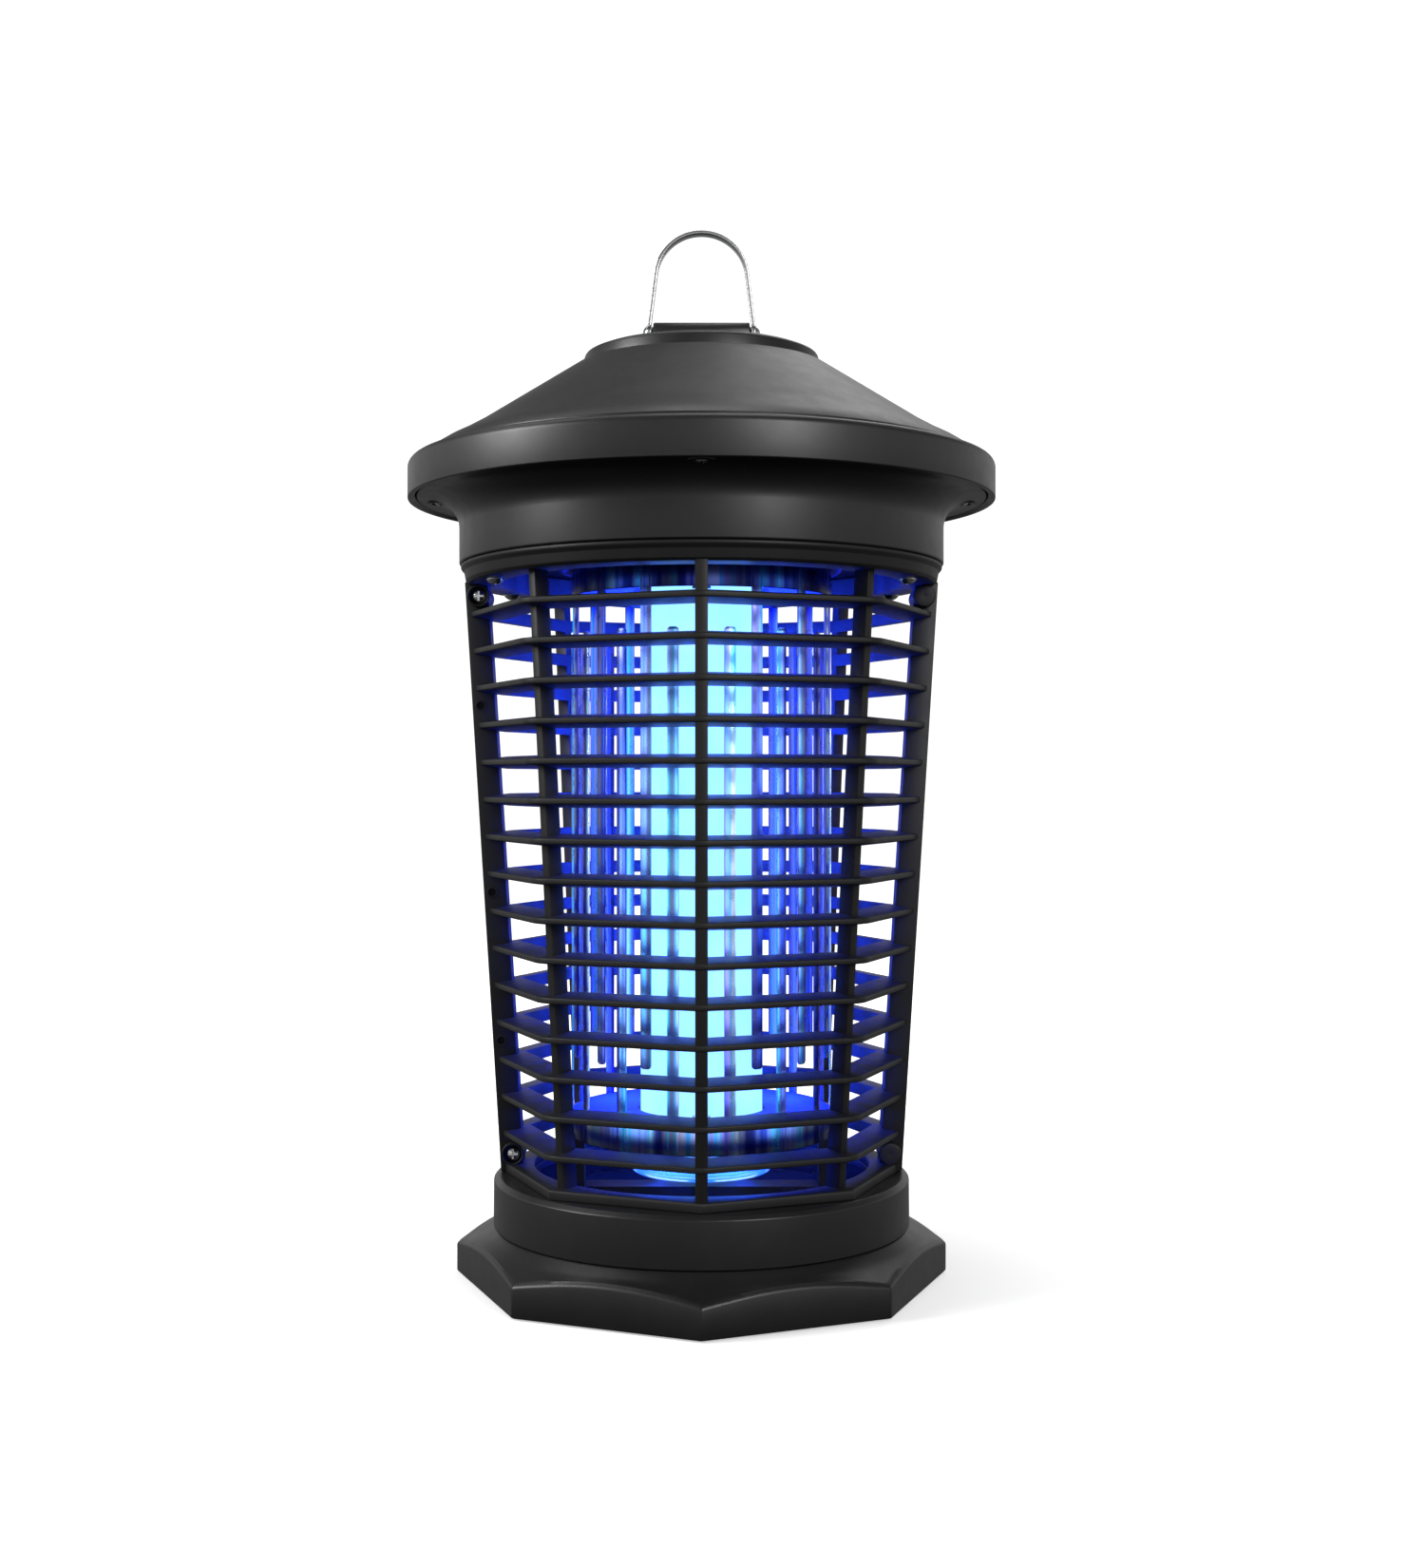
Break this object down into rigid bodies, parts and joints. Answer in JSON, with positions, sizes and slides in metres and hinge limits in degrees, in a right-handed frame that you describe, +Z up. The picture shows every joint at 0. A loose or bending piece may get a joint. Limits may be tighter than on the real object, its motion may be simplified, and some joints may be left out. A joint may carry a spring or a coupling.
{
  "type": "electric bug zapper",
  "caption": "Lantern-shaped electric bug zapper: cone roof with a folding bail, louvred eight-sided cage, bright comb grid round an ultraviolet lamp, and a twist-off tray.",
  "frame": {"origin": "on the axis, at the bottom of the tray's feet", "axes": "+Z up; -Y is the front, the side with the two bright screws on its left post; +X to the front's right"},
  "size_m": [0.18, 0.18, 0.3219],
  "materials": {
    "housing_black": "satin",
    "cage_black": "satin",
    "base_black": "satin",
    "bracket_black": "matt",
    "gland_black": "matt",
    "bail_steel": "bright",
    "screw_steel": "bright",
    "grid_metal": "bright",
    "insulator": "gloss",
    "lamp_glass": "bright glow",
    "cup_clear": "clear",
    "lamp_collar": "gloss",
    "lamp_brass": "bright",
    "board_green": "gloss",
    "coil_yellow": "gloss",
    "capacitor_blue": "gloss",
    "diode_black": "gloss",
    "lead_red": "satin",
    "lead_white": "satin",
    "foot_rubber": "matt"
  },
  "bodies": {
    "housing": {"roof": "housing_black", "head_base": "housing_black", "hanger_cap": "housing_black", "cage_front": "cage_black", "cage_back": "cage_black", "base_collar": "base_black", "lower_bracket": "bracket_black", "cable_gland": "gland_black", "gland_nut": "gland_black", "bail_pin": "bail_steel", "cap_screws": "screw_steel", "head_screws": "screw_steel", "cage_screws": "screw_steel", "neck_screws": "screw_steel", "bracket_screws": "screw_steel", "collar_screws": "screw_steel", "board_screws": "screw_steel", "tie_rods": "screw_steel", "tie_nuts": "screw_steel", "socket_bracket": "screw_steel", "upper_comb": "grid_metal", "lower_comb": "grid_metal", "upper_insulator": "insulator", "lower_insulator": "insulator", "lamp_tube": "lamp_glass", "lamp_cup": "cup_clear", "lamp_neck": "lamp_collar", "lamp_socket": "lamp_collar", "lamp_shell": "lamp_brass", "lamp_contact": "lamp_brass", "driver_board": "board_green", "transformer": "coil_yellow", "capacitors": "capacitor_blue", "diodes": "diode_black", "grid_leads": "lead_red", "lamp_leads": "lead_white"},
    "tray": {"tray": "base_black", "tray_feet": "foot_rubber"},
    "bail": {"bail": "bail_steel"}
  },
  "joints": [
    {"name": "bail_hinge", "type": "hinge", "parent": "housing", "child": "bail", "pos_m": [0, 0, 0.29025], "axis": [1, 0, 0], "range_deg": [-90, 90]},
    {"name": "tray_turn", "type": "hinge", "parent": "housing", "child": "tray", "pos_m": [0, 0, 0], "axis": [0, 0, 1], "range_deg": [0, 20]}
  ]
}
